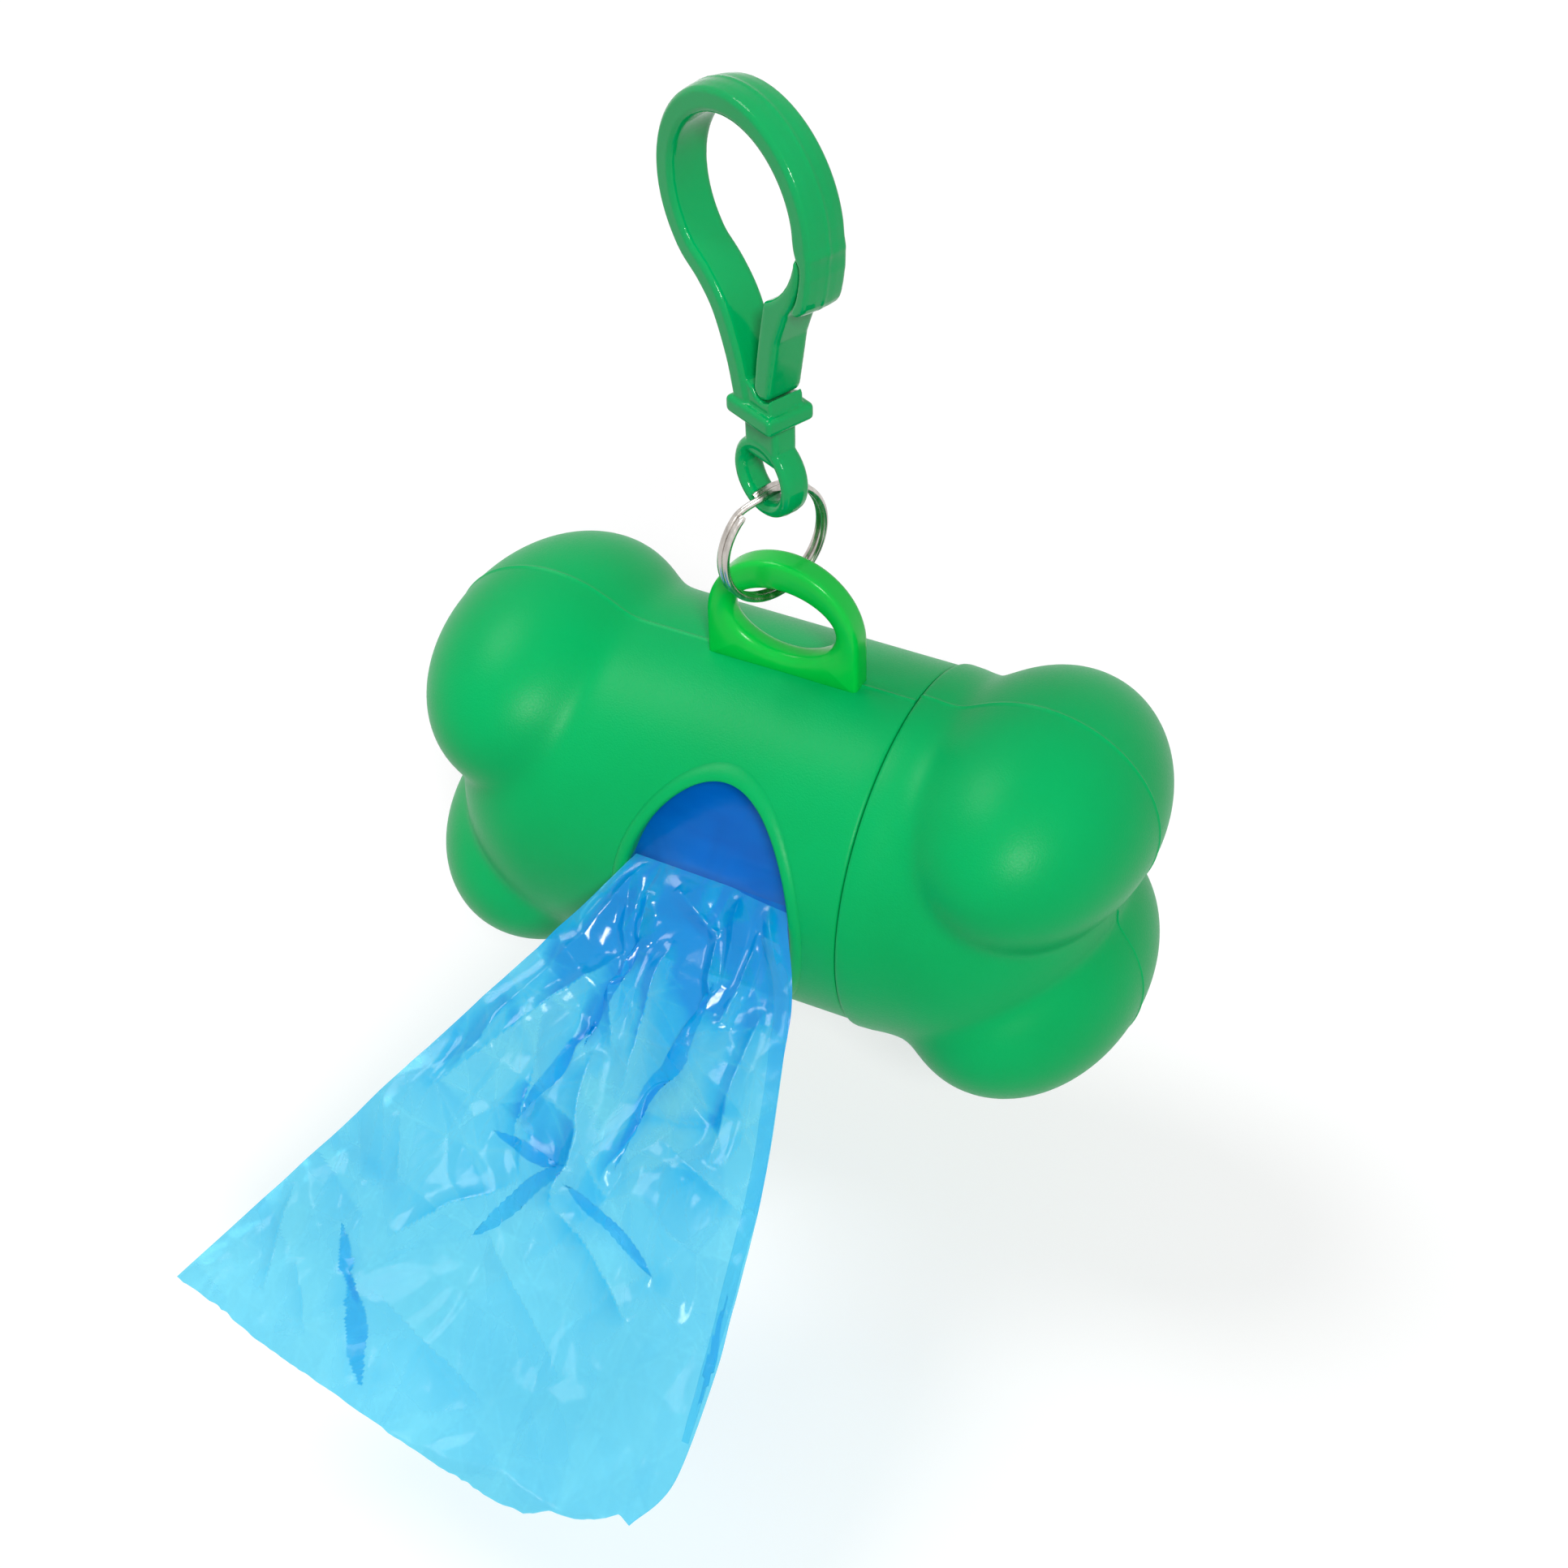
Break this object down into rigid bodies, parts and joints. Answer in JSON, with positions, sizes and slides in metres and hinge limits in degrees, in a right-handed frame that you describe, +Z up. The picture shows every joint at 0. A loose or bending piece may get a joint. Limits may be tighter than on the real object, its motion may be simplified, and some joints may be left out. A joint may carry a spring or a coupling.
{
  "type": "dog waste bag dispenser",
  "caption": "Bone-shaped plastic holder for a roll of dog waste bags, with a pull-off end cap, a front slot for the film, a hanging loop, a split ring and a snap hook.",
  "frame": {"origin": "middle of the round bend of the snap hook, where the whole thing hangs from a leash or ring", "axes": "+Z up, +X along the bone towards its pull-off cap, -Y out of the bag slot; the hook is turned 25 degrees about +Z"},
  "size_m": [0.0834, 0.0954, 0.1101],
  "materials": {
    "shell": "fine matte moulding",
    "cap": "fine matte moulding",
    "loop": "smooth, slightly translucent",
    "hook": "glossy moulding",
    "gate": "glossy moulding",
    "steel": "bright nickel-plated steel wire",
    "card": "plain grey-brown cardboard",
    "roll": "wound film, deep blue where it is many layers thick",
    "film": "thin glossy translucent film with creases"
  },
  "bodies": {
    "hook": {"snap_hook": "hook"},
    "gate": {"hook_gate": "gate"},
    "ring": {"split_ring": "steel"},
    "bone": {"body_shell": "shell", "hanging_loop": "loop"},
    "cap": {"end_cap": "cap"},
    "roll": {"roll_core": "card", "bag_roll": "roll"},
    "bag": {"pulled_bag": "film"}
  },
  "joints": [
    {"name": "gate_flex", "type": "hinge", "parent": "hook", "child": "gate", "pos_m": [0.0034, -0.00158, -0.0181], "axis": [-0.4226, -0.9063, 0], "range_deg": [0, 22], "stiffness_Nm_per_rad": 0.02},
    {"name": "ring_swing", "type": "hinge", "parent": "hook", "child": "ring", "pos_m": [0.00218, -0.00101, -0.03127], "axis": [-0.4226, -0.9063, 0], "range_deg": [-30, 30]},
    {"name": "bone_swing", "type": "hinge", "parent": "ring", "child": "bone", "pos_m": [0.00218, -0.00101, -0.04407], "axis": [-0.4226, -0.9063, 0], "range_deg": [-25, 25]},
    {"name": "cap_pull", "type": "slide", "parent": "bone", "child": "cap", "axis": [1, 0, 0], "range_m": [0, 0.012]},
    {"name": "bag_pull", "type": "slide", "parent": "bone", "child": "bag", "axis": [0, -0.887, -0.4617], "range_m": [0, 0.04]},
    {"name": "roll_spin", "type": "hinge", "parent": "bone", "child": "roll", "pos_m": [0.00388, -0.00101, -0.07443], "axis": [1, 0, 0], "continuous": true}
  ],
  "couplings": [
    {"joint": "roll_spin", "follows": "bag_pull", "rad_per_m": 64.516}
  ]
}
